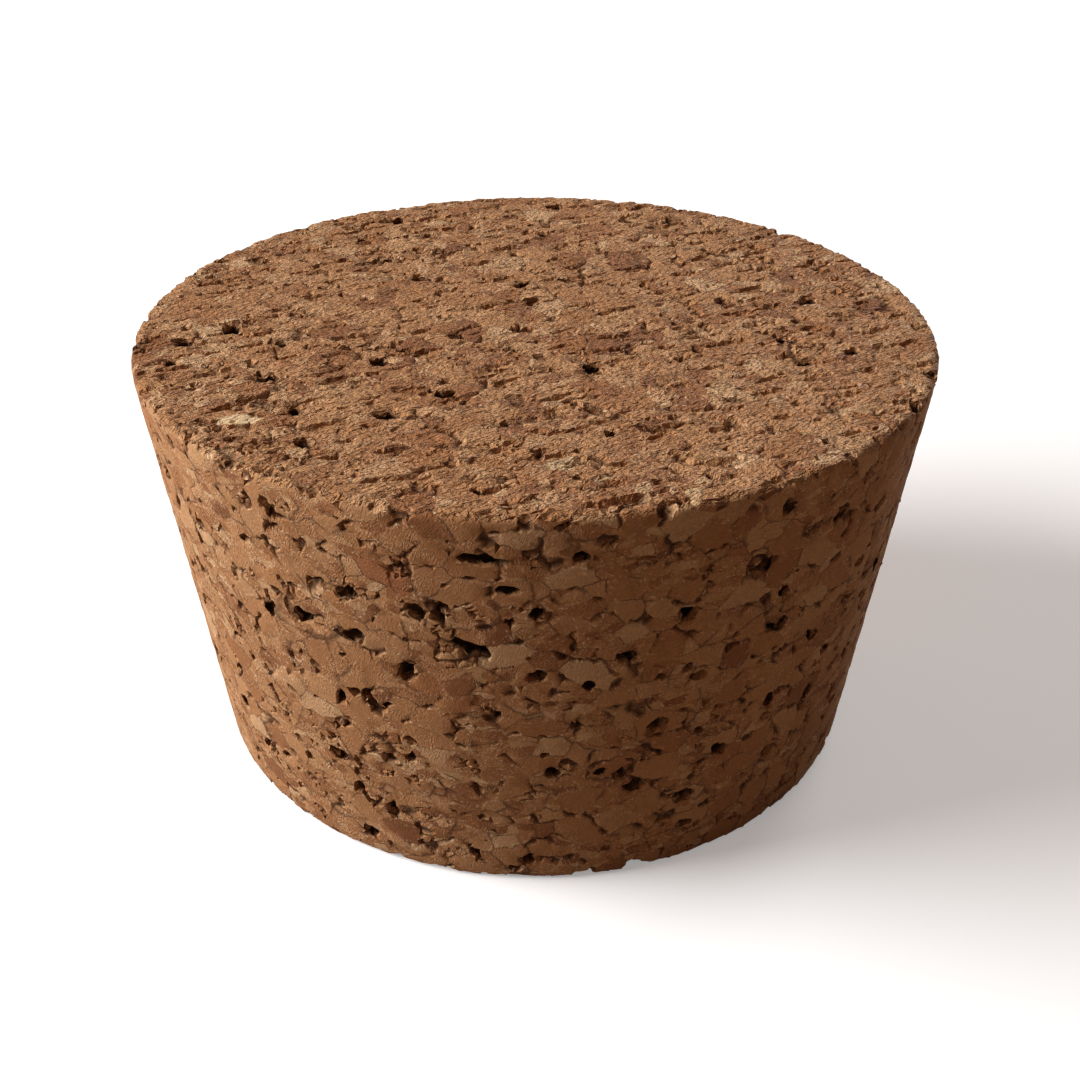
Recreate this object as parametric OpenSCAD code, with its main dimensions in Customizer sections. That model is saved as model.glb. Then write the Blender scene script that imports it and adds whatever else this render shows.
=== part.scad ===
// Tapered stopper of agglomerated cork: one pressed and ground piece that wedges in a round mouth.
// The origin is the centre of the narrow end, and +Z runs up the axis to the wide end.
// The voids that its pressed granules leave open at the surface are cut as real pockets.

/* [Body] */
// Diameter of the wide end
top_d = 50; // [36:0.5:70]
// Diameter of the narrow end
bottom_d = 43; // [30:0.5:60]
// Height from the narrow end to the wide end
height = 27; // [18:0.5:45]

/* [Edges] */
// Radius that grinding leaves on the wide end's rim
top_edge_r = 0.4; // [0.2:0.1:1.5]
// Radius that grinding leaves on the narrow end's rim
bottom_edge_r = 0.5; // [0.2:0.1:1.5]

/* [Voids] */
// Typical length of a void between granules
void_length = 1.2; // [0.8:0.1:1.8]
// Typical width of a void between granules
void_width = 0.8; // [0.5:0.1:1.2]
// Depth of a typical void
void_depth = 1.1; // [0.5:0.1:2]
// Least width of the cork left between two voids
void_wall = 0.4; // [0.2:0.1:2]
// Mean spacing of the scattered voids on the tapered wall
wall_void_pitch = 4.6; // [4:0.2:9]
// Mean spacing of the scattered voids on the two ends
end_void_pitch = 5; // [4:0.2:9]
// Mean spacing of the nicks along the two rims
nick_pitch = 8; // [6:0.5:14]
// Seed of the scatter
void_seed = 11; // [1:1:99]

/* [Hidden] */
cork_colour = [0.62, 0.46, 0.33];

// Wall of the body, as a line in the half section
taper = atan2((top_d - bottom_d) / 2, height);
wall_length = height / cos(taper);
function wall_r(rise) = bottom_d / 2 + (top_d - bottom_d) / 2 * rise;

// Rounded corners of the half section: centre of the arc, then its points
edge_steps = 5;
function corner_centre(edge_r, z) = [wall_r(z / height) - edge_r / cos(taper), z];
function arc_points(centre, edge_r, from, to) =
    [for (k = [0 : edge_steps])
        let (angle = from + (to - from) * k / edge_steps)
        centre + edge_r * [cos(angle), sin(angle)]];

// A place on the surface is an azimuth from the front and a station along the half section:
// 0 to 1 runs out along the narrow end, 1 to 2 up the wall, and 2 to 3 in along the wide end.
bottom_rim = 1;
top_rim = 2;
top_centre = 3;
front = -90;
function station_r(station) =
    station < bottom_rim ? bottom_d / 2 * station
    : station > top_rim ? top_d / 2 * (top_centre - station)
    : wall_r(station - bottom_rim);
function station_z(station) = height * min(max(station - bottom_rim, 0), 1);
// Angle of the outward normal above the horizontal; a rim faces halfway between its two faces
function station_normal(station) =
    station < bottom_rim ? -90
    : station == bottom_rim ? -45
    : station < top_rim ? -taper
    : station == top_rim ? 45
    : 90;

// Shape of a void: a ragged outline of a few corners, and a lean as it goes in
void_corners = 5;
corner_spread = 0.15;
corner_drift = 0.25;
void_lean = 20;

// Voids that stand out on the front of the wall: [azimuth, rise, length, width, spin].
// Length and width are shares of the typical void.
front_voids = [
    [-7, 0.90, 1.8, 1.1, 0], [-3, 0.83, 1.7, 0.7, -10], [0, 0.77, 0.9, 0.8, 0],
    [-8, 0.68, 1.8, 1.1, -30], [-17, 0.59, 1.2, 1.2, 60], [0, 0.61, 0.9, 0.9, 20],
    [7, 0.58, 0.8, 0.9, 80], [12, 0.65, 1.0, 1.0, 10], [-24, 0.77, 1.2, 1.1, 20],
    [-28, 0.47, 1.2, 0.8, 75], [-23, 0.49, 1.8, 0.7, -65], [17, 0.44, 1.2, 1.1, 30],
    [32, 0.94, 1.0, 1.1, 90], [30, 0.81, 1.3, 1.0, 30], [42, 0.86, 1.1, 0.9, 50],
    [35, 0.63, 1.2, 1.1, 45], [36, 0.41, 1.3, 0.9, 80], [28, 0.32, 1.1, 0.9, -50],
    [-31, 0.29, 1.0, 1.1, -50], [-22, 0.16, 1.0, 1.0, -70], [-27, 0.07, 0.9, 1.1, 0],
    [-1, 0.06, 0.9, 1.1, 0], [-34, 0.92, 1.4, 0.9, -60]
];
// Voids that stand out on the wide end: [azimuth, share of the radius, length, width, angle from +X]
top_voids = [
    [-61, 0.72, 1.6, 0.9, 15], [-31, 0.63, 1.3, 1.0, 20], [-73, 0.91, 0.8, 0.9, 0],
    [-77, 0.64, 0.9, 0.9, 30], [-63, 0.22, 1.0, 0.9, 0], [-132, 0.42, 1.3, 1.0, 10],
    [68, 0.70, 1.3, 0.9, 20], [48, 0.32, 0.9, 1.1, 0], [-7, 0.90, 1.0, 0.8, -30]
];
seen_voids = concat(
    [for (v = front_voids) [v[0], bottom_rim + v[1], v[2], v[3], 1, v[4]]],
    [for (v = top_voids) [v[0], top_centre - v[1], v[2], v[3], 1, v[4] - v[0]]]
);

// Random numbers: every list of them has a salt of its own
function random(low, high, count, salt) = rands(low, high, count, 100 * void_seed + salt);

// The other voids lie at random: rows are [azimuth, station, length, width, depth, spin]
size_range = [0.6, 1.3];
depth_range = [0.5, 1];
most_spin = 60;
function scatter(stations, salt) =
    let (count = len(stations),
         azimuth = random(0, 360, count, salt),
         size = random(size_range[0], size_range[1], count, salt + 1),
         depth = random(depth_range[0], depth_range[1], count, salt + 2),
         spin = random(-most_spin, most_spin, count, salt + 3))
    [for (k = [0 : count - 1]) [azimuth[k], stations[k], size[k], size[k], depth[k], spin[k]]];

// Wall voids keep a share of its length clear at each rim, and end voids a share of the radius
wall_margin = 0.08;
end_reach = 0.92;
function even_steps(count) = [for (k = [0 : count - 1]) (k + 0.5) / count];
function end_shares(end_d) =
    [for (step = even_steps(floor(PI / 4 * pow(end_d / end_void_pitch, 2)))) end_reach * sqrt(step)];
wall_area = PI * (top_d + bottom_d) / 2 * wall_length;
wall_stations =
    [for (step = even_steps(floor(wall_area / pow(wall_void_pitch, 2))))
        bottom_rim + wall_margin + (1 - 2 * wall_margin) * step];

// Nicks sit on a rim, evenly but for a random share of a step, and are shallower than they are long
nick_shift = 0.4;
nick_depth = 0.5;
function nicks(rim, salt) =
    let (count = floor(2 * PI * station_r(rim) / nick_pitch),
         size = random(size_range[0], size_range[1], count, salt),
         shift = random(-nick_shift, nick_shift, count, salt + 1))
    [for (k = [0 : count - 1])
        [360 * (k + shift[k]) / count, rim, size[k], size[k], nick_depth * size[k], 0]];

// A void is kept only where a wall of cork remains between it and every void before it
function place(v) =
    let (r = station_r(v[1]), angle = v[0] + front)
    [r * cos(angle), r * sin(angle), station_z(v[1])];
function reach(v) =
    (1 + corner_spread) / 2 * max(void_length * v[2], void_width * v[3]) + void_depth * v[4] * tan(void_lean);
function is_clear(v, others) =
    min([for (other = others) norm(place(v) - place(other)) - reach(v) - reach(other)]) > void_wall;
function keep_clear(candidates, kept, next = 0) =
    next == len(candidates) ? kept
    : keep_clear(candidates,
                 is_clear(candidates[next], kept) ? concat(kept, [candidates[next]]) : kept,
                 next + 1);
voids = keep_clear(
    concat(
        nicks(top_rim, 10),
        nicks(bottom_rim, 20),
        scatter(wall_stations, 30),
        scatter([for (share = end_shares(top_d)) top_centre - share], 40),
        scatter(end_shares(bottom_d), 50)
    ),
    seen_voids
);
first_outline_salt = 1000;

module half_section() {
    low = corner_centre(bottom_edge_r, bottom_edge_r);
    high = corner_centre(top_edge_r, height - top_edge_r);
    polygon(concat(
        [[0, 0]],
        arc_points(low, bottom_edge_r, -90, -taper),
        arc_points(high, top_edge_r, -taper, 90),
        [[0, height]]
    ));
}

// A pocket in a surface that faces +Z: it opens at the origin, and its length runs along X
module void_pocket(length, width, depth, salt) {
    spread = random(1 - corner_spread, 1 + corner_spread, void_corners, salt);
    drift = random(-corner_drift, corner_drift, void_corners, salt + 1);
    lean = random(-void_lean, void_lean, 2, salt + 2);
    outline = [for (k = [0 : void_corners - 1])
        let (angle = 360 * (k + drift[k]) / void_corners)
        spread[k] / 2 * [length * cos(angle), width * sin(angle)]];
    rotate([lean[0], lean[1], 0])
        translate([0, 0, -depth])
            linear_extrude(height = depth + length)
                polygon(outline);
}

// Places a pocket by its row: local X runs round the body, and local Z out of the surface
module cut_void(v, salt) {
    rotate([0, 0, v[0] + front])
        translate([station_r(v[1]), 0, station_z(v[1])])
            rotate([0, 90 - station_normal(v[1]), 0])
                rotate([0, 0, 90 + v[5]])
                    void_pocket(void_length * v[2], void_width * v[3], void_depth * v[4], salt);
}

module stopper() {
    color(cork_colour)
        difference() {
            rotate_extrude($fn = 180)
                half_section();
            for (k = [0 : len(voids) - 1])
                cut_void(voids[k], first_outline_salt + 10 * k);
        }
}

stopper();
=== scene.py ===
# %% [markdown]
# # A tapered stopper of agglomerated cork
# The real stopper is pressed from cork granules and a little binder, then ground to a taper and sawn flat
# at both ends. Its look is all in those granules: each has its own tone and tilt, thin dark seams run
# between them, short crevices open along the seams, and here and there a gap stays open as a void. The
# solid model holds the taper and the voids. This lesson dresses it: it carves the granules into the mesh
# with Geometry Nodes, and paints them with a shader that reads the same pattern.

# %% Load the solid model
import math

import bmesh
import bpy
import numpy as np
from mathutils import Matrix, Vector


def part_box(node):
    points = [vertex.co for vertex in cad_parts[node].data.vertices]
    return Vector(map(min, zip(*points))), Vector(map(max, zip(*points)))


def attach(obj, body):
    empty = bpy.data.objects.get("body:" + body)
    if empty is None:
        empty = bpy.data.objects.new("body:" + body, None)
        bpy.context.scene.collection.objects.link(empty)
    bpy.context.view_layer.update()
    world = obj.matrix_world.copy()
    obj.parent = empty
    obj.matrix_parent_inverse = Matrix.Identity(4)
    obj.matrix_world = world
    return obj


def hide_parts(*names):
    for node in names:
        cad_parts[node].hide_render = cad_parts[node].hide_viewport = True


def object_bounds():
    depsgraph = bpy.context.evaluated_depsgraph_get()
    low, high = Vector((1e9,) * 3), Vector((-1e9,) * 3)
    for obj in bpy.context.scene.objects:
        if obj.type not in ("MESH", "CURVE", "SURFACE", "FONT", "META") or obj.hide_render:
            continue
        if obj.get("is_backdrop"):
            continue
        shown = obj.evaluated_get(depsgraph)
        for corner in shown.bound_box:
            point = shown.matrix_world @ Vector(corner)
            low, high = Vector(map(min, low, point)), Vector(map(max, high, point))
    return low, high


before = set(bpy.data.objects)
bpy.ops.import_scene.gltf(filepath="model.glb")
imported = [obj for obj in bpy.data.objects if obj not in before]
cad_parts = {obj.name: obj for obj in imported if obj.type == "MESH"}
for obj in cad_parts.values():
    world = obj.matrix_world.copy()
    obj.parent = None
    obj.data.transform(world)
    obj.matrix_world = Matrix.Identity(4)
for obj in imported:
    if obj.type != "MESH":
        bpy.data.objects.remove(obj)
cad_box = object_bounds()
MM = 0.001
cork_low, cork_high = (np.array(corner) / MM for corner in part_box("stopper"))
height = float(cork_high[2] - cork_low[2])
wide_r = float(cork_high[0] - cork_low[0]) / 2
print("solid model, mm:", np.round(cork_high - cork_low, 2))

# %% [markdown]
# ## A short way to write nodes
# Granules, seams and saw marks are sums and products of a few textures. Wiring them by hand takes pages of
# link lines, so one small class wraps a socket and lets Python's own operators add the nodes. Plain values
# use Math nodes, and vectors and colours use Vector Math, because a Math node would turn a colour grey.
# The class works in a shader and in Geometry Nodes alike, so that both can read one pattern.


# %% A wire with operators
class Wire:
    def __init__(self, board, socket):
        self.board = board
        self.socket = socket
        self.is_vector = socket.type in {"VECTOR", "RGBA"}

    def __add__(self, other):
        return self.board.work_out("ADD", self, other)

    def __sub__(self, other):
        return self.board.work_out("SUBTRACT", self, other)

    def __rsub__(self, other):
        return self.board.work_out("SUBTRACT", other, self)

    def __mul__(self, other):
        return self.board.work_out("MULTIPLY", self, other)

    __radd__ = __add__
    __rmul__ = __mul__

    def least(self, other):
        return self.board.work_out("MINIMUM", self, other)

    def most(self, other):
        return self.board.work_out("MAXIMUM", self, other)

    def root(self):
        return self.board.work_out("SQRT", self)

    def fraction(self):
        return self.board.work_out("FRACT", self)

    def ramp(self, low, high):
        """0 below low, 1 above high, and a smooth step between them."""
        settings = {"interpolation_type": "SMOOTHSTEP"}
        return self.board.add("ShaderNodeMapRange", settings, {0: self, 1: low, 2: high})["Result"]

    def part(self, axis):
        return self.board.add("ShaderNodeSeparateXYZ", {}, {"Vector": self})[axis]


print("a wire can add, subtract, multiply, compare, ramp and give its parts")


# %% The board that wires run on
class Outputs:
    def __init__(self, board, node):
        self.board = board
        self.node = node

    def __getitem__(self, key):
        return Wire(self.board, self.node.outputs[key])


class Board:
    def __init__(self, tree):
        self.tree = tree

    def add(self, kind, settings, sockets):
        """Adds a node, sets it up, then fills or links its inputs. Outputs are read by name or number."""
        node = self.tree.nodes.new(kind)
        for name, value in settings.items():
            if name == "stops":
                self.set_stops(node.color_ramp, value)
            else:
                setattr(node, name, value)
        for name, value in sockets.items():
            if isinstance(value, Wire):
                self.tree.links.new(value.socket, node.inputs[name])
            else:
                node.inputs[name].default_value = value
        return Outputs(self, node)

    def set_stops(self, ramp, stops):
        while len(ramp.elements) < len(stops):
            ramp.elements.new(1.0)
        for element, (position, colour) in zip(ramp.elements, stops):
            element.position = position
            element.color = colour

    def work_out(self, operation, *terms):
        settings = {"operation": operation}
        if any(isinstance(term, tuple) or getattr(term, "is_vector", False) for term in terms):
            terms = [(term,) * 3 if isinstance(term, (int, float)) else term for term in terms]
            return self.add("ShaderNodeVectorMath", settings, dict(enumerate(terms)))["Vector"]
        return self.add("ShaderNodeMath", settings, dict(enumerate(terms)))["Value"]

    def dot(self, a, b):
        return self.add("ShaderNodeVectorMath", {"operation": "DOT_PRODUCT"}, {0: a, 1: b})["Value"]

    def join(self, x, y, z):
        return self.add("ShaderNodeCombineXYZ", {}, {"X": x, "Y": y, "Z": z})["Vector"]

    def turn(self, place, axis, angle):
        """The place, turned about the X, Y or Z axis."""
        settings = {"rotation_type": axis + "_AXIS"}
        return self.add("ShaderNodeVectorRotate", settings, {"Vector": place, "Angle": angle})["Vector"]

    def noise(self, place, grain, detail, roughness=0.6):
        """Cloudy noise with lumps of about one grain, in the units of the place."""
        sockets = {"Vector": place, "Scale": 1 / grain, "Detail": detail, "Roughness": roughness}
        return self.add("ShaderNodeTexNoise", {"noise_dimensions": "3D"}, sockets)

    def cells(self, place, grain, feature):
        sockets = {"Vector": place, "Scale": 1 / grain, "Randomness": 1.0}
        return self.add("ShaderNodeTexVoronoi", {"voronoi_dimensions": "3D", "feature": feature}, sockets)

    def blend(self, a, b, share):
        """Colour or vector a where the share is 0, and b where it is 1."""
        return self.add("ShaderNodeMix", {"data_type": "RGBA"}, {0: share, 6: a, 7: b})[2]


# Mean of a noise or of a random number from 0 to 1
HALF = 0.5
# Width of a ramp that works as a plain step
SHARP = 0.001
print("node helpers ready")

# %% [markdown]
# ## The pattern of the granules
# Pressed granules fill space like a stack of soft stones, and that is what Voronoi cells do: every point
# belongs to the nearest of many random centres. Even cells look like tiles, so the place is bent by slow
# noise first, the cells are squashed a little along the axis that they were pressed in, and about half of
# them are split again into smaller chips. All sizes are in millimetres.

# %% Noise that changes slowly from place to place
BEND_GRAIN, BEND = 3.6, 1.1
OPEN_GRAIN, GAP_GRAIN, MOTTLE_GRAIN = 1.2, 1.7, 1.1
# Moves the noise of the gaps away from that of the open seams
GAP_SHIFT = 31.0


def slow_patterns(board, place):
    """The bend of the granules, how open their seams are, where gaps lie, and mottling."""
    return {
        "bend": (board.noise(place, BEND_GRAIN, detail=1.0)["Color"] - HALF) * BEND,
        "open": board.noise(place, OPEN_GRAIN, detail=1.0)["Fac"],
        "gap": board.noise(place + GAP_SHIFT, GAP_GRAIN, detail=1.0)["Fac"],
        "mottle": board.noise(place, MOTTLE_GRAIN, detail=2.0)["Fac"],
    }


print("slow noise has lumps of", MOTTLE_GRAIN, "to", BEND_GRAIN, "mm")

# %% Granules: which one a place is in, and how far its seam is
GRANULE = 2.1
CHIP = 1.0
PRESSED = 1.35
SLIVER = (1.0, 1.0, 1.35)
SPLIT_ABOVE = 0.5
RAGGED_GRAIN, RAGGED = 0.26, 0.18
# Seams between chips count as this many times further away, so they open less
CHIP_SHUT = 3.0
FAR = 9.0
# Makes a second random number out of a first one
SHUFFLE = 7.0


def nearest_granule(board, place, grain):
    """The granule that a place is in, and about how far its seam is: half the lead over the next one."""
    first = board.cells(place, grain, "F1")
    second = board.cells(place, grain, "F2")
    return first, (second["Distance"] - first["Distance"]) * (grain / 2)


def granules(board, place, slow_bend):
    ragged = board.noise(place, RAGGED_GRAIN, detail=1.0)["Color"] - HALF
    bent = (place + slow_bend + ragged * RAGGED) * (1.0, 1.0, PRESSED)
    thin = bent * SLIVER
    big, big_seam = nearest_granule(board, bent, GRANULE)
    small, small_seam = nearest_granule(board, thin, CHIP)
    is_split = big["Color"].part("X").ramp(SPLIT_ABOVE, SPLIT_ABOVE + SHARP)
    luck = board.blend(big["Color"], small["Color"], is_split)
    offset = board.blend(bent - big["Position"], thin - small["Position"], is_split)
    centre = board.blend(big["Position"], small["Position"] * tuple(1 / s for s in SLIVER), is_split)
    tilt = board.join(luck.part("Y"), luck.part("Z"), luck.part("Y")) - HALF
    return {
        "ragged": ragged,
        "luck": luck,
        "centre": centre * (1.0, 1.0, 1 / PRESSED),
        "tone": luck.part("Y"),
        "step": (luck.part("X") * SHUFFLE).fraction() - HALF,
        "lean": board.dot(tilt, offset),
        "seam": big_seam.least(small_seam + (1 - is_split) * FAR),
        "wide_seam": big_seam.least(small_seam * CHIP_SHUT + (1 - is_split) * FAR),
    }


print("pattern of granules of", GRANULE, "mm, some split into chips of", CHIP, "mm")

# %% [markdown]
# ## Where on the stopper
# The wall is ground smooth and the two ends are sawn, so the finish depends on the place. Both can be told
# from the undisturbed position alone: how far it lies below the wide end, above the narrow end or inside
# the wall. The least of these three is the depth below the skin, which is large only inside a void.

# %% Depth below the skin, and the share of sawn end
WIDE_END, NARROW_END, RISE = 50.0, 43.0, 27.0
TAPER = (WIDE_END - NARROW_END) / 2 / RISE
COS_TAPER, SIN_TAPER = math.cos(math.atan(TAPER)), math.sin(math.atan(TAPER))
END_SKIN = 0.08, 0.35
RIM = 0.3, 1.3


def whereabouts(board, place):
    x, y, z = (place.part(axis) for axis in "XYZ")
    radius = (x * x + y * y).root()
    below_top = height - z
    inside_wall = (wide_r - radius - below_top * TAPER) * COS_TAPER
    top = 1 - below_top.ramp(*END_SKIN)
    bottom = 1 - z.ramp(*END_SKIN)
    to_end = below_top.least(z)
    return {
        "inside_wall": inside_wall,
        "to_end": to_end,
        "depth": inside_wall.least(to_end),
        "end": top.most(bottom),
        "rim": 1 - inside_wall.most(to_end).ramp(*RIM),
    }


print("the wall leans by", round(math.degrees(math.atan(TAPER)), 1), "degrees")

# %% [markdown]
# ## Seams, crevices and gaps
# A seam is tight where the binder held, and then only a thin dark line shows. Where it did not hold, the
# seam opens to a short crevice, and where three or four granules meet badly there is a gap. An even groove
# round every granule would look like a stone wall, so slow noise decides which stretch of seam is a line,
# a crevice or a gap. The same values drive the carving and the paint.

# %% Openness of seams
OPEN_RANGE = 0.535, 0.645
TIGHT_SEAM, OPEN_SEAM = 0.08, 0.12
LINE_RANGE = 0.44, 0.54
GAP_RANGE = 0.69, 0.703
GAP_REACH = 0.13, 0.22
END_GAPS = 0.03


def seams(cell, slow, where):
    is_open = slow["open"].ramp(*OPEN_RANGE)
    width = is_open * OPEN_SEAM + TIGHT_SEAM
    is_gap = (slow["gap"] - where["end"].most(where["rim"]) * END_GAPS).ramp(*GAP_RANGE)
    return {
        "open": is_open,
        "line": slow["gap"].ramp(*LINE_RANGE),
        "groove": 1 - cell["wide_seam"].ramp(0.0, width),
        "gap": is_gap * (1 - cell["wide_seam"].ramp(*GAP_REACH)),
    }


print("seams are", TIGHT_SEAM, "to", TIGHT_SEAM + OPEN_SEAM, "mm wide on each side")

# %% [markdown]
# ## Saw marks and grinding marks
# A saw tears the ends into crumb that is drawn out along its cut, and a grinding belt leaves fine slanting
# fibres on the wall. Both are stretched noise. What needs care is the direction: the saw runs straight
# across the ends, but the belt follows the wall, so the wall is unrolled before its noise is stretched.

# %% Places stretched along the saw's cut and along the grinding marks
SAW_ANGLE = math.radians(22)
SAW_STRETCH = (0.45, 1.0, 1.0)
GRIND_ANGLE = math.radians(28)
GRIND_STRETCH = (1.5, 1.0, 0.6)


def along_saw(board, place):
    return board.turn(place, "Z", -SAW_ANGLE) * SAW_STRETCH


def along_grind(board, place, bend):
    """The wall unrolled and turned to the grinding marks, which run down at a slant and wander a little."""
    x, y, z = ((place + bend).part(axis) for axis in "XYZ")
    round_wall = board.work_out("ARCTAN2", x, y) * wide_r
    unrolled = board.join(round_wall, (x * x + y * y).root(), z)
    return board.turn(unrolled, "Y", GRIND_ANGLE) * GRIND_STRETCH


print("saw marks run at", round(math.degrees(SAW_ANGLE)), "degrees, and grinding marks at",
      round(math.degrees(GRIND_ANGLE)))

# %% [markdown]
# ## The pale chip
# One pale, flat chip stands out on the wide end. It is no granule of the random pattern, so it gets a shape
# of its own: an ellipsoid at a fixed place. The carving flattens the crumb inside it, and the paint makes
# it pale.

# %% Shape of the pale chip: its centre, half sizes and angle
PALE_PLACE = (-16.3, -14.3, 27.0)
PALE_HALF = (1.35, 0.6, 0.6)
PALE_ANGLE = 0.15
PALE_RAGGED = 0.5
PALE_EDGE = 0.8, 1.0


def pale_chip(board, place):
    """1 inside the pale chip's ellipsoid and 0 outside it."""
    turned = board.turn(place - PALE_PLACE, "Z", -PALE_ANGLE)
    scaled = turned * tuple(1 / half for half in PALE_HALF)
    return 1 - board.dot(scaled, scaled).ramp(*PALE_EDGE)


print("pale chip of", 2 * PALE_HALF[0], "by", 2 * PALE_HALF[1], "mm")

# %% [markdown]
# ## The cork's colour
# Cork granules differ in tone from a dark red brown to a pale tan, so the random number of each granule
# picks its colour from a ramp. Slow noise mottles it, fine noise gives it grain and fibre, and seams are
# drawn as dark lines. Crevices, gaps and voids get painted shade, the sawn ends get painted light that
# makes them paler, and torn fibres get pale specks, paler fibre with a painted highlight on it. A few
# granules that catch the eye get a colour of their own. Painting all this by hand on a picture would take
# a day and stay blurred up close, and noise stays sharp at any distance.

# %% Tones of the granules
TONES = [
    (0.00, (0.24, 0.096, 0.038, 1)),
    (0.15, (0.34, 0.148, 0.059, 1)),
    (0.40, (0.40, 0.190, 0.080, 1)),
    (0.70, (0.44, 0.221, 0.098, 1)),
    (0.90, (0.48, 0.260, 0.124, 1)),
    (1.00, (0.54, 0.325, 0.170, 1)),
]
# Dark seam lines of the cork; the same colour paints shade into open crevices
SEAM_AND_CREVICE_SHADE_COLOUR = (0.055, 0.022, 0.010, 1)
# Painted shade in gaps and voids
VOID_SHADE_COLOUR = (0.022, 0.009, 0.005, 1)
# Pale torn fibre, with a painted highlight on it
SPECK_HIGHLIGHT_COLOUR = (0.66, 0.50, 0.35, 1)
PALE_COLOUR = (0.60, 0.43, 0.25, 1)
BLACK, WHITE = (0, 0, 0, 1), (1, 1, 1, 1)
# Granules that stand out: where, how far their centres may be from there, and their colour
MARKS = [
    ((1.3, -19.3, 27.0), 0.8, (0.56, 0.37, 0.20, 1)),
    ((6.6, -24.0, 26.6), 1.0, (0.54, 0.34, 0.18, 1)),
    ((8.2, -23.4, 26.6), 1.0, (0.54, 0.34, 0.18, 1)),
    ((11.9, -21.6, 24.5), 1.4, (0.50, 0.28, 0.13, 1)),
    ((-7.4, -23.3, 22.4), 1.2, (0.37, 0.150, 0.066, 1)),
    ((-0.1, -24.4, 22.7), 0.9, (0.52, 0.32, 0.16, 1)),
    ((-3.4, -23.5, 17.2), 1.2, (0.46, 0.26, 0.12, 1)),
]
# Brightness of a granule: a base, then painted light that makes the sawn ends paler, then what mottling,
# grain and fibre add
SHADE, END_PAINTED_LIGHT, MOTTLE_SHADE, GRAIN_SHADE, FIBRE_SHADE = 0.595, 0.13, 0.5, 0.35, 0.7


def granule_colour(board, cell, shade, speck_highlight):
    tone = board.add("ShaderNodeValToRGB", {"stops": TONES}, {"Fac": cell["tone"]})["Color"]
    tone = board.blend(tone * shade, SPECK_HIGHLIGHT_COLOUR, speck_highlight)
    for mark, reach, colour in MARKS:
        away = cell["centre"] - mark
        near = 1 - board.dot(away, away).ramp(reach ** 2, reach ** 2 + SHARP)
        tone = board.blend(tone, board.blend(BLACK, colour, shade), near)
    return tone


print(len(TONES), "tones and", len(MARKS), "granules that stand out")

# %% Dark seam lines, and painted shade in crevices, gaps and voids
# How dark tight seam lines are drawn, and how strong the painted shade in open crevices is
LINE_DARK, OPEN_CREVICE_SHADE = 0.72, 0.96
# Share by which seams on the sawn ends are paler
END_PALER = 0.45
# Strength of the painted shade in gaps and in voids, and the depths below the skin over which it deepens
GAP_SHADE, VOID_SHADE = 0.85, 0.9
VOID_SHADE_RANGE = 0.10, 0.6


def darkened(board, tone, seam, where, pale):
    """The tone with seam lines and painted crevice shade, then the pale chip, then painted shade in gaps
    and voids.
    """
    # Tight seams are dark lines in the cork; open crevices get painted shade
    line = (seam["line"] * LINE_DARK).most(seam["open"] * OPEN_CREVICE_SHADE)
    tone = board.blend(tone, SEAM_AND_CREVICE_SHADE_COLOUR, seam["groove"] * line * (1 - where["end"] * END_PALER))
    tone = board.blend(tone, PALE_COLOUR, pale)
    # Painted shade in gaps and in deep voids
    gap_and_void_shade = (seam["gap"] * GAP_SHADE).most(where["depth"].ramp(*VOID_SHADE_RANGE))
    return board.blend(tone, VOID_SHADE_COLOUR, gap_and_void_shade * VOID_SHADE)


print("voids are darkest from", VOID_SHADE_RANGE[1], "mm below the skin")

# %% [markdown]
# ## The cork's fine texture
# Up close, every granule has fibres that run its own way, the ground wall is matt with a little nap, and
# the sawn ends are crumbly. Relief this fine would take millions of triangles, so it is bump. Seams stay
# out of the bump, because they are carved in the mesh. The carving stores the undisturbed place and the
# slow noise on the mesh, so that the paint follows the relief and needn't work the noise out again.

# %% What the carving stores on the mesh, and the fibres of a granule
REST, BENT, SLOW = "rest", "bent", "slow"
FIBRE_SIZE = 0.4
FIBRE_AXIS = (0.5, 0.7, 0.5)
FIBRE_STRETCH = (1.0, 3.2, 3.2)
# Moves the fibres of each granule apart from those of its neighbours
FIBRE_SHIFT = 20.0


def read_notes(board):
    """The undisturbed place, the bend and the slow patterns, which the carving stores on the mesh."""
    place, bend, slow = (
        board.add("ShaderNodeAttribute", {"attribute_name": name}, {})["Vector"]
        for name in (REST, BENT, SLOW)
    )
    patterns = {"open": slow.part("X"), "gap": slow.part("Y"), "mottle": slow.part("Z")}
    return place * (1 / MM), bend, patterns


def fibres(board, place, luck):
    """Fibres inside the granules: each granule turns the noise its own way."""
    sockets = {"Vector": place, "Axis": FIBRE_AXIS, "Angle": luck.part("Z") * (2 * math.pi)}
    turned = board.add("ShaderNodeVectorRotate", {"rotation_type": "AXIS_ANGLE"}, sockets)["Vector"]
    return board.noise(turned * FIBRE_STRETCH + luck * FIBRE_SHIFT, FIBRE_SIZE, detail=2.0)["Fac"]


print("fibres are", FIBRE_SIZE, "mm long and", FIBRE_SIZE / FIBRE_STRETCH[1], "mm thick")

# %% The cork material
GRAIN_SIZE, CRUMB_SIZE = 0.13, 0.17
TORN = 0.50, 0.62
SPECK_FIBRE, SPECK_GRAIN = (0.58, 0.70), (0.60, 0.68)
SPECK_SEAM = 0.08, 0.35
SPECK_SHARE = 0.65
BUMP_GRAIN, BUMP_TORN, BUMP_CRUMB = 0.05, 0.14, 0.56
PALE_SMOOTH = 0.7
ROUGH, GRAIN_ROUGH, SPECULAR = 0.8, 0.2, 0.15


def empty_material(name):
    material = bpy.data.materials.new(name)
    material.use_nodes = True
    material.node_tree.nodes.clear()
    return material


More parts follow.
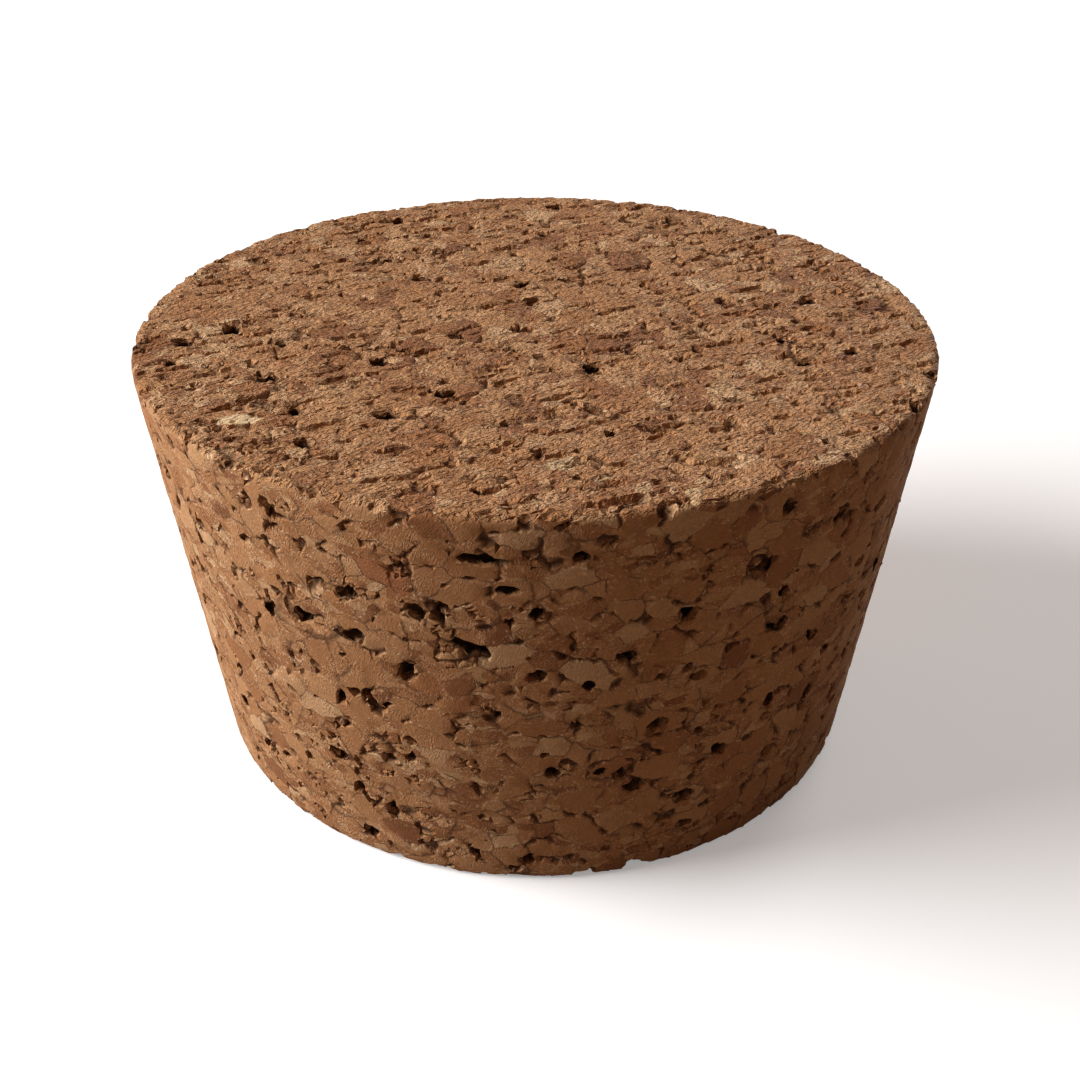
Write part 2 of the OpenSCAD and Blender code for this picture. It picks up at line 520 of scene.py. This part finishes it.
def cork_material():
    material = empty_material("cork")
    board = Board(material.node_tree)
    place, bend, slow = read_notes(board)
    cell = granules(board, place, bend)
    where = whereabouts(board, place)
    seam = seams(cell, slow, where)
    end = where["end"]
    wall = 1 - end
    grain = board.noise(along_grind(board, place, bend), GRAIN_SIZE, detail=2.0)["Fac"]
    crumb = board.noise(along_saw(board, place), CRUMB_SIZE, detail=2.0)["Fac"]
    fibre = fibres(board, place, cell["luck"])
    torn = slow["mottle"].ramp(*TORN)

    # Painted light: the sawn ends are made paler
    shade = SHADE + end * END_PAINTED_LIGHT + slow["mottle"] * MOTTLE_SHADE
    shade = shade + (grain - HALF) * GRAIN_SHADE + (fibre - HALF) * FIBRE_SHADE
    # Specks of torn fibre: paler fibre with a painted highlight
    speck_highlight = fibre.ramp(*SPECK_FIBRE) * (1 - cell["seam"].ramp(*SPECK_SEAM))
    speck_highlight = speck_highlight.most(grain.ramp(*SPECK_GRAIN) * torn * wall)
    tone = granule_colour(board, cell, shade, speck_highlight * SPECK_SHARE)
    tone = darkened(board, tone, seam, where, pale_chip(board, place + cell["ragged"] * PALE_RAGGED))

    rough_end = end * (1 - pale_chip(board, place) * PALE_SMOOTH)
    fine = (grain - HALF) * (torn * BUMP_TORN + BUMP_GRAIN) * wall + (crumb - HALF) * BUMP_CRUMB * rough_end
    normal = board.add("ShaderNodeBump", {}, {"Strength": 1.0, "Distance": MM, "Height": fine})["Normal"]
    sockets = {
        "Base Color": tone,
        "Roughness": ROUGH + grain * GRAIN_ROUGH,
        "Specular IOR Level": SPECULAR,
        "Normal": normal,
    }
    shader = board.add("ShaderNodeBsdfPrincipled", {}, sockets)["BSDF"]
    board.add("ShaderNodeOutputMaterial", {}, {"Surface": shader})
    return material


cork = cork_material()
print("cork material:", len(cork.node_tree.nodes), "nodes")

# %% [markdown]
# ## Voids, large and small
# On the real stopper a few voids are deep and dark, most are shallow, and cracks lead away from them along
# the seams. The solid model cuts them all as clean pockets. Editing them one by one would be slow, so the
# mesh is asked how much pocket lies round each point: a pocket's points are marked, and the marks are
# blurred over the mesh. A wide blur tells large voids from small ones, which are filled up, and a narrow
# one finds the skin beside a void, where seams crack open and granules chip.

# %% Find voids by blurring, and fill the small ones
POCKET = 0.05, 0.4
SIZE_STEPS, BESIDE_STEPS = 150, 40
LARGE_VOID = 0.36, 0.43
NEARER = 0.5, 1.5
# Shares of the height between which up turns to down
TURN_OVER = 0.4, 0.6


def spread(board, value, steps):
    """The value, blurred over the mesh by a number of steps from point to point."""
    sockets = {"Value": value, "Iterations": steps}
    return board.add("GeometryNodeBlurAttribute", {"data_type": "FLOAT"}, sockets)["Value"]


def fill_small_voids(board, place, share):
    """The place, moved out by a share of its depth if it is in a small void."""
    where = whereabouts(board, place)
    is_small = 1 - spread(board, where["depth"].ramp(*POCKET), SIZE_STEPS).ramp(*LARGE_VOID)
    level = board.work_out("NORMALIZE", place * (1.0, 1.0, 0.0))
    outwards = level * COS_TAPER - (0.0, 0.0, SIN_TAPER)
    is_upper = place.part("Z").ramp(*(height * turn for turn in TURN_OVER))
    upwards = board.join(0.0, 0.0, is_upper * 2 - 1)
    nearer_wall = (where["to_end"] - where["inside_wall"]).ramp(*NEARER)
    nearer_end = (where["inside_wall"] - where["to_end"]).ramp(*NEARER)
    from_wall = outwards * (where["inside_wall"].most(0.0) * nearer_wall)
    from_end = upwards * (where["to_end"].most(0.0) * nearer_end)
    return place + (from_wall + from_end) * (is_small * share)


print("a blur of", SIZE_STEPS, "steps tells large voids, and one of", BESIDE_STEPS, "finds their rims")

# %% [markdown]
# ## Carving the granules
# Granules that only exist as bump look flat at the outline and in the voids, so their relief is real mesh.
# Sculpting thousands of granules is out of the question, and a rule describes them well, so this is a
# Geometry Nodes tree: it stores each point's undisturbed place for the shader, then moves the point along
# its normal by the height of the pattern there, and a little sideways so that edges tear.

# %% Relief of the sawn ends and of the voids
CRUMB_GRAIN, STREAK_GRAIN = 0.45, 0.8
STREAK_STRETCH = (0.6, 1.0, 1.0)
# Moves the noise of the streaks away from that of the crumb
STREAK_SHIFT = 17.0
STREAK_RANGE = 0.60, 0.68
PALE_FLAT = 0.8
PIT_RANGE = 0.03, 0.25
# Picks about half of the granules beside a void to be nicked
NICK_PICK = -0.05, 0.05
NICK_FADE = 0.0, 0.3
BESIDE = 0.10, 0.30


def sawn_relief(board, place, cell, given):
    """Crumb and short streaks along the saw's cut, flatter on the pale chip."""
    saw = along_saw(board, place)
    crumb = board.noise(saw, CRUMB_GRAIN, detail=2.0)["Fac"] - HALF
    streak = board.noise(saw * STREAK_STRETCH + STREAK_SHIFT, STREAK_GRAIN, detail=1.0)["Fac"]
    pale = pale_chip(board, place + cell["ragged"] * PALE_RAGGED)
    relief = crumb * given["Crumb"] - streak.ramp(*STREAK_RANGE) * given["Streak"]
    return relief * (1 - pale * PALE_FLAT)


def void_relief(cell, where, beside_void, torn, given):
    """How far the inside of a void is rough, and how deep granules beside it are nicked."""
    pit = (torn["Fac"] - HALF) * given["Pit"] * where["depth"].ramp(*PIT_RANGE)
    nick = cell["step"].ramp(*NICK_PICK) * beside_void.ramp(*BESIDE) * given["Nick"]
    return pit, nick * (1 - where["depth"].ramp(*NICK_FADE))


print("crumb of", CRUMB_GRAIN, "mm and streaks of", STREAK_GRAIN, "mm across the saw's cut")

# %% An empty tree, with the heights of its relief in millimetres as inputs
INPUTS = [
    ("Step", 0.04),
    ("Lean", 0.035),
    ("Groove", 0.22),
    ("Gap", 0.50),
    ("Crumb", 0.38),
    ("Streak", 0.25),
    ("Tear", 0.85),
    ("Pit", 1.1),
    ("Nick", 0.2),
    # These two are shares: how much a void opens the seams beside it, and how far a small one is filled
    ("Crack", 0.34),
    ("Fill", 0.9),
]


def empty_tree():
    """A tree that takes a mesh and the named inputs, and gives a mesh."""
    tree = bpy.data.node_groups.new("granulate", "GeometryNodeTree")
    tree.interface.new_socket("Geometry", in_out="INPUT", socket_type="NodeSocketGeometry")
    for name, _ in INPUTS:
        tree.interface.new_socket(name, in_out="INPUT", socket_type="NodeSocketFloat")
    tree.interface.new_socket("Geometry", in_out="OUTPUT", socket_type="NodeSocketGeometry")
    return tree


def store_notes(board, geometry, notes):
    """Stores named vectors on the points, for the shader to read."""
    for name, value in notes.items():
        settings = {"data_type": "FLOAT_VECTOR", "domain": "POINT"}
        sockets = {"Geometry": geometry, "Name": name, "Value": value}
        geometry = board.add("GeometryNodeStoreNamedAttribute", settings, sockets)["Geometry"]
    return geometry


print("inputs of the tree:", dict(INPUTS))

# %% The tree that carves
TEAR_GRAIN = 0.4
# Share by which granules stand out less on the sawn ends
END_LIFT = 0.5
# Depths between which the relief of the skin fades out inside a void
INNER = 0.2, 0.7
# The stopper stands on the floor, and a metre to the sides is no limit
LOWEST = (-1.0, -1.0, 0.0)


def granule_tree(material):
    tree = empty_tree()
    board = Board(tree)
    given = board.add("NodeGroupInput", {}, {})
    position = board.add("GeometryNodeInputPosition", {}, {})["Position"]
    normal = board.add("GeometryNodeInputNormal", {}, {})["Normal"]
    place = fill_small_voids(board, position * (1 / MM), given["Fill"])
    slow = slow_patterns(board, place)
    cell = granules(board, place, slow["bend"])
    where = whereabouts(board, place)
    beside_void = spread(board, where["depth"].ramp(*POCKET), BESIDE_STEPS)
    slow["open"] = slow["open"] + beside_void * given["Crack"]
    seam = seams(cell, slow, where)

    lift = cell["step"] * given["Step"] + cell["lean"] * given["Lean"]
    sawn = sawn_relief(board, place, cell, given)
    carve = seam["groove"] * given["Groove"] * seam["open"] + seam["gap"] * given["Gap"]
    rise = lift * (1 - where["end"] * END_LIFT) + sawn * where["end"] - carve
    torn = board.noise(place, TEAR_GRAIN, detail=3.0)
    pit, nick = void_relief(cell, where, beside_void, torn, given)
    rise = rise * (1 - where["depth"].ramp(*INNER)) + pit - nick
    tear = (torn["Color"] - HALF) * given["Tear"]
    tear = tear - normal * board.dot(tear, normal)

    patterns = board.join(slow["open"], slow["gap"], slow["mottle"])
    notes = {REST: place * MM, BENT: slow["bend"], SLOW: patterns}
    kept = store_notes(board, given["Geometry"], notes)
    standing = ((place + normal * rise + tear) * MM).most(LOWEST)
    moved = board.add("GeometryNodeSetPosition", {}, {"Geometry": kept, "Position": standing})["Geometry"]
    real = board.add("GeometryNodeRealizeInstances", {}, {"Geometry": moved})["Geometry"]
    dressed = board.add("GeometryNodeSetMaterial", {}, {"Geometry": real, "Material": material})["Geometry"]
    board.add("NodeGroupOutput", {}, {"Geometry": dressed})
    return tree


tree = granule_tree(cork)
print("granulate tree:", len(tree.nodes), "nodes")

# %% [markdown]
# ## From the solid to a carved mesh
# The solid has a few large flat faces, and relief needs many small ones. A voxel remesh gives an even skin
# of small squares, also inside the voids, where subdivision would stretch. After the carving a decimation
# thins it out again where it is smooth. Both can leave a loose crumb or push a point below the floor, so
# the mesh is cleaned up at the end.

# %% Helpers for meshes
def evaluated_mesh(thing):
    graph = bpy.context.evaluated_depsgraph_get()
    seen = thing.evaluated_get(graph)
    return bpy.data.meshes.new_from_object(seen, preserve_all_data_layers=True, depsgraph=graph)


def triangle_count(mesh):
    mesh.calc_loop_triangles()
    return len(mesh.loop_triangles)


def linked_points(start):
    """All points that edges lead to from one point."""
    found, open_ends = {start}, [start]
    while open_ends:
        point = open_ends.pop()
        for edge in point.link_edges:
            other = edge.other_vert(point)
            if other not in found:
                found.add(other)
                open_ends.append(other)
    return found


def clean_up(mesh):
    """Keeps the largest linked body, drops loose crumbs, and sets the base back on the floor."""
    work = bmesh.new()
    work.from_mesh(mesh)
    left, bodies = set(work.verts), []
    while left:
        body = linked_points(next(iter(left)))
        bodies.append(body)
        left -= body
    bodies.sort(key=len)
    crumbs = [point for body in bodies[:-1] for point in body]
    bmesh.ops.delete(work, geom=crumbs, context="VERTS")
    for point in work.verts:
        point.co.z = max(point.co.z, 0.0)
    work.to_mesh(mesh)
    work.free()
    print("loose crumbs dropped:", len(bodies) - 1, "and faults had to be mended:", mesh.validate())


print("mesh helpers ready")

# %% Run the tree on a finely remeshed copy of the solid
WELD = 0.001
VOXEL = 0.13
MOST_TRIANGLES = 190_000
CRISP_ANGLE = math.radians(32)


def carved_mesh(node, tree):
    """The node's solid as one mesh with its granules carved in."""
    blank = bpy.data.objects.new("blank", node.data.copy())
    bpy.context.scene.collection.objects.link(blank)
    weld = blank.modifiers.new("weld", "WELD")
    weld.merge_threshold = WELD * MM
    remesh = blank.modifiers.new("remesh", "REMESH")
    remesh.mode = "VOXEL"
    remesh.voxel_size = VOXEL * MM
    carve = blank.modifiers.new("granulate", "NODES")
    carve.node_group = tree
    sockets = {item.name: item.identifier for item in tree.interface.items_tree if item.in_out == "INPUT"}
    for name, value in INPUTS:
        carve[sockets[name]] = value
    fine = evaluated_mesh(blank)
    print("carved:", triangle_count(fine), "triangles")
    blank.modifiers.clear()
    blank.data = fine
    thin = blank.modifiers.new("thin", "DECIMATE")
    thin.ratio = min(1.0, MOST_TRIANGLES / triangle_count(fine))
    thin.use_collapse_triangulate = True
    mesh = evaluated_mesh(blank)
    bpy.data.objects.remove(blank)
    clean_up(mesh)
    return mesh


mesh = carved_mesh(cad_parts["stopper"], tree)
mesh.polygons.foreach_set("use_smooth", np.ones(len(mesh.polygons), dtype=bool))
mesh.set_sharp_from_angle(angle=CRISP_ANGLE)
stopper = bpy.data.objects.new("cork_stopper", mesh)
bpy.context.scene.collection.objects.link(stopper)
print("stopper:", triangle_count(mesh), "triangles,", [a.name for a in mesh.attributes])

# %% [markdown]
# ## A flat map of the surface
# A game engine or a viewer wants the colours as one flat picture, so the surface needs a map. The usual
# tools would cut this rough skin into thousands of scraps. The stopper is a cone with two discs, which
# unroll by a formula: the wall as two strips and the ends as two circles, all at one scale.

# %% Unroll the wall and lay out the ends
SHEET = 110.0
# The front strip runs this far round to each side
FRONT_TURN = math.radians(120)
MEAN_R = wide_r - TAPER * height / 2
STRIP_RISE = height / COS_TAPER
# Centre line and foot of each strip, and centres of the two discs
FRONT_STRIP = SHEET / 2, 1.0
BACK_STRIP = 26.0, 3.0 + STRIP_RISE
TOP_DISC = 26.5, 83.5
BOTTOM_DISC = 82.0, 56.0


def corner_places(mesh):
    """The undisturbed place of each corner of each triangle, in millimetres."""
    rest = np.empty(3 * len(mesh.vertices), dtype=np.float32)
    mesh.attributes[REST].data.foreach_get("vector", rest)
    corners = np.empty(len(mesh.loops), dtype=np.int32)
    mesh.loops.foreach_get("vertex_index", corners)
    return rest.reshape(-1, 3)[corners].reshape(-1, 3, 3) / MM


def unroll(mesh):
    """Writes the flat map: each triangle goes to the wall or to the end that is nearest."""
    place = corner_places(mesh)
    x, y, z = (place[:, :, axis] for axis in range(3))
    below_top, above_bottom = height - z, z
    inside_wall = (wide_r - np.hypot(x, y) - below_top * TAPER) * COS_TAPER
    nearest = np.argmin([d.mean(axis=1) for d in (inside_wall, below_top, above_bottom)], axis=0)
    turn = np.arctan2(x, -y)
    middle_turn = np.arctan2(x.mean(axis=1), -y.mean(axis=1))[:, None]
    turn = middle_turn + (turn - middle_turn + math.pi) % (2 * math.pi) - math.pi
    in_front = np.abs(middle_turn) < FRONT_TURN
    back_turn = turn - np.sign(middle_turn) * math.pi
    wall_u = np.where(in_front, FRONT_STRIP[0] + turn * MEAN_R, BACK_STRIP[0] + back_turn * MEAN_R)
    wall_v = np.where(in_front, FRONT_STRIP[1], BACK_STRIP[1]) + z / COS_TAPER
    kinds = [nearest[:, None] == k for k in range(3)]
    u = np.select(kinds, [wall_u, TOP_DISC[0] + x, BOTTOM_DISC[0] + x])
    v = np.select(kinds, [wall_v, TOP_DISC[1] + y, BOTTOM_DISC[1] - y])
    layer = mesh.uv_layers.new(name="OFBake")
    layer.uv.foreach_set("vector", (np.stack([u, v], axis=2) / SHEET).astype(np.float32).ravel())
    print("flat map: u", np.round([u.min(), u.max()], 1), "v", np.round([v.min(), v.max()], 1), "of", SHEET)


unroll(mesh)

# %% [markdown]
# ## Handing the piece to the frame
# The stopper is one rigid piece, so it rides on the one body, takes the place of the one node of the solid
# model, and has one material slot.

# %% Hand the piece to the frame
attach(stopper, "root")
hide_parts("stopper")
print("stopper rides on root")

# %% [markdown]
# ## Floor
# The floor looks white to the camera but throws little light back, so that the shaded side of the cork
# stays deep, and it keeps the stopper's shadow. Far from the stopper it glows more, so that it meets the
# white background without an edge. A real white floor and backdrop would need far more light.

# %% Floor
FLOOR_SIZE = 4.0
FLOOR_BOUNCE = (0.31, 0.23, 0.17, 1)
FLOOR_SEEN = (0.80, 0.80, 0.80, 1)
NEAR_GLOW, FAR_GLOW = (0.30, 0.30, 0.30, 1), (1.0, 1.0, 1.0, 1)
GLOW_RANGE = 0.10, 0.45


def seen_directly(board):
    ray = board.add("ShaderNodeLightPath", {}, {})
    return ray["Is Camera Ray"].most(ray["Is Glossy Ray"]).most(ray["Is Transmission Ray"])


def floor_material():
    material = empty_material("floor")
    board = Board(material.node_tree)
    seen = seen_directly(board)
    colour = board.blend(FLOOR_BOUNCE, FLOOR_SEEN, seen)
    matt = board.add("ShaderNodeBsdfDiffuse", {}, {"Color": colour})["BSDF"]
    place = board.add("ShaderNodeNewGeometry", {}, {})["Position"]
    far = board.dot(place, place).root().ramp(*GLOW_RANGE)
    light = board.blend(BLACK, board.blend(NEAR_GLOW, FAR_GLOW, far), seen)
    glow = board.add("ShaderNodeEmission", {}, {"Color": light, "Strength": 1.0})["Emission"]
    both = board.add("ShaderNodeAddShader", {}, {0: matt, 1: glow})["Shader"]
    board.add("ShaderNodeOutputMaterial", {}, {"Surface": both})
    return material


bpy.ops.mesh.primitive_plane_add(size=FLOOR_SIZE)
floor = bpy.context.object
floor.name = "floor"
floor.data.materials.append(floor_material())
floor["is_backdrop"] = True
print("floor:", FLOOR_SIZE, "m wide")

# %% [markdown]
# ## Light
# A large soft light stands to the left, so the wall falls off into shade towards the right and the crumb of
# the sawn end shows. A weaker one behind the right edge lifts that edge off the shade. The world gives a
# weak warm fill that keeps the shade readable, and shows itself to the camera as plain white.

# %% World and two soft lights
FILL_COLOUR = (1.0, 0.61, 0.43, 1)
FILL = 0.15
LIGHT_DISTANCE = 0.6
# Azimuth and elevation in degrees, size in metres and power in watts
KEY = -88, 29, 0.42, 7.2
RIM_LIGHT = 150, 8, 0.30, 3.0

world = bpy.data.worlds.new("studio")
world.use_nodes = True
world.node_tree.nodes.clear()
board = Board(world.node_tree)
seen = seen_directly(board)
sky_colour = board.blend(FILL_COLOUR, WHITE, seen)
sky = board.add("ShaderNodeBackground", {}, {"Color": sky_colour, "Strength": seen * (1 - FILL) + FILL})
board.add("ShaderNodeOutputWorld", {}, {"Surface": sky["Background"]})
bpy.context.scene.world = world

middle = np.array([0, 0, height / 2]) * MM


def from_middle(azimuth, elevation, distance):
    """A point at a distance from the stopper's middle, with azimuth 0 in front of it."""
    level = math.cos(elevation)
    way = [level * math.sin(azimuth), -level * math.cos(azimuth), math.sin(elevation)]
    return middle + distance * np.array(way)


def soft_light(name, azimuth, elevation, size, power):
    lamp = bpy.data.lights.new(name, "AREA")
    lamp.shape = "DISK"
    lamp.size = size
    lamp.energy = power
    azimuth, elevation = math.radians(azimuth), math.radians(elevation)
    stand = bpy.data.objects.new(name, lamp)
    stand.location = from_middle(azimuth, elevation, LIGHT_DISTANCE)
    stand.rotation_euler = (math.pi / 2 - elevation, 0, azimuth)
    bpy.context.scene.collection.objects.link(stand)


soft_light("key", *KEY)
soft_light("rim", *RIM_LIGHT)
print("key light of", KEY[-1], "W and rim light of", RIM_LIGHT[-1], "W")

# %% [markdown]
# ## Camera
# The viewing angle, distance and lens come from fitting a cone's outline to the photograph. The camera is
# close, so the taper looks stronger than it is, and a long lens would not show that.

# %% Camera
VIEW_ELEVATION = math.radians(29.8)
VIEW_DISTANCE = 0.0986
LENS, SENSOR = 48.33, 36.0
SHIFT = 0.0047, -0.0333
NEAREST_SEEN = 0.005

lens = bpy.data.cameras.new("camera")
lens.lens = LENS
lens.sensor_width = SENSOR
lens.shift_x, lens.shift_y = SHIFT
lens.clip_start = NEAREST_SEEN
camera = bpy.data.objects.new("camera", lens)
camera.location = from_middle(0, VIEW_ELEVATION, VIEW_DISTANCE)
camera.rotation_euler = (math.pi / 2 - VIEW_ELEVATION, 0, 0)
bpy.context.scene.collection.objects.link(camera)
bpy.context.scene.camera = camera
bpy.context.scene.view_settings.view_transform = "Standard"
print("camera at", np.round(np.array(camera.location) / MM, 1), "mm")

# %% [markdown]
# ## Sizes
# Dressing must not change the stopper's size, so the boxes of the solid and of the dressed piece are
# written down side by side.

# %% Sizes and finish
boxes = {"cad": cad_box, "visual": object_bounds()}
boxes = {name: [list(map(float, corner)) for corner in box] for name, box in boxes.items()}
print(boxes)
